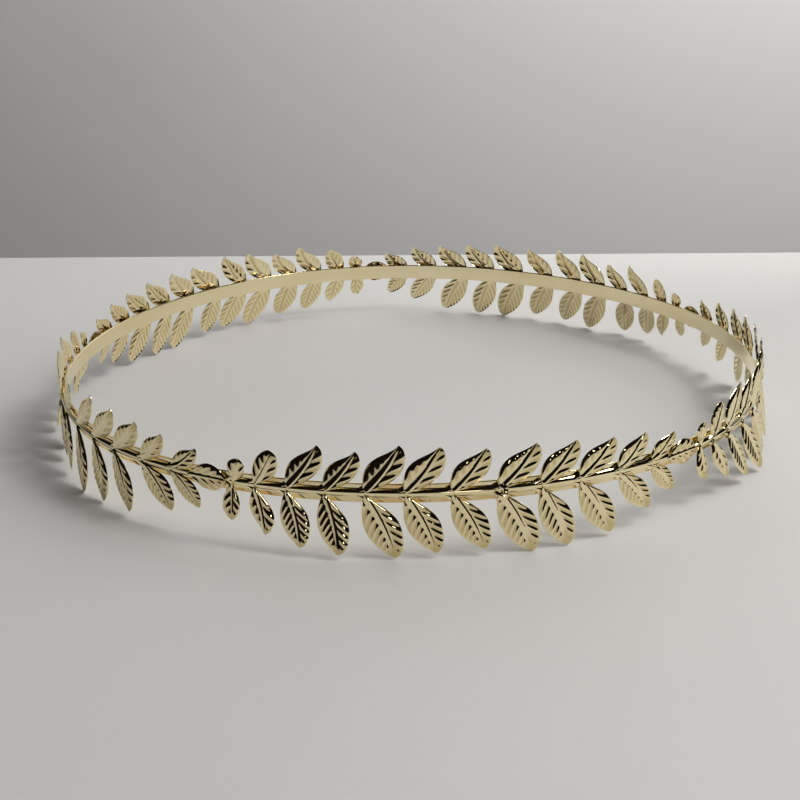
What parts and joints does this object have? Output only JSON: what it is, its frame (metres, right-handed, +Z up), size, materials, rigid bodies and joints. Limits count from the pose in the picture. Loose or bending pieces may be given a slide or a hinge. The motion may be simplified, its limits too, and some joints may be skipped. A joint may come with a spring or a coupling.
{
  "type": "laurel wreath crown",
  "caption": "Open laurel wreath crown: a thin metal hoop for the head with stamped leaf sprays end to end round its outside.",
  "frame": {"origin": "middle of the crown's outline, level with the lowest leaf tips that it stands on", "axes": "+Z up through the head opening, -Y to the front spray with its bead of solder, +X to the wearer's left"},
  "size_m": [0.1878, 0.1846, 0.0251],
  "materials": {
    "band": "polished",
    "leaves": "polished"
  },
  "bodies": {
    "root": {"band": "band", "spray_front": "leaves", "spray_right": "leaves", "spray_back_right": "leaves", "spray_back_left": "leaves", "spray_left": "leaves"}
  },
  "joints": []
}
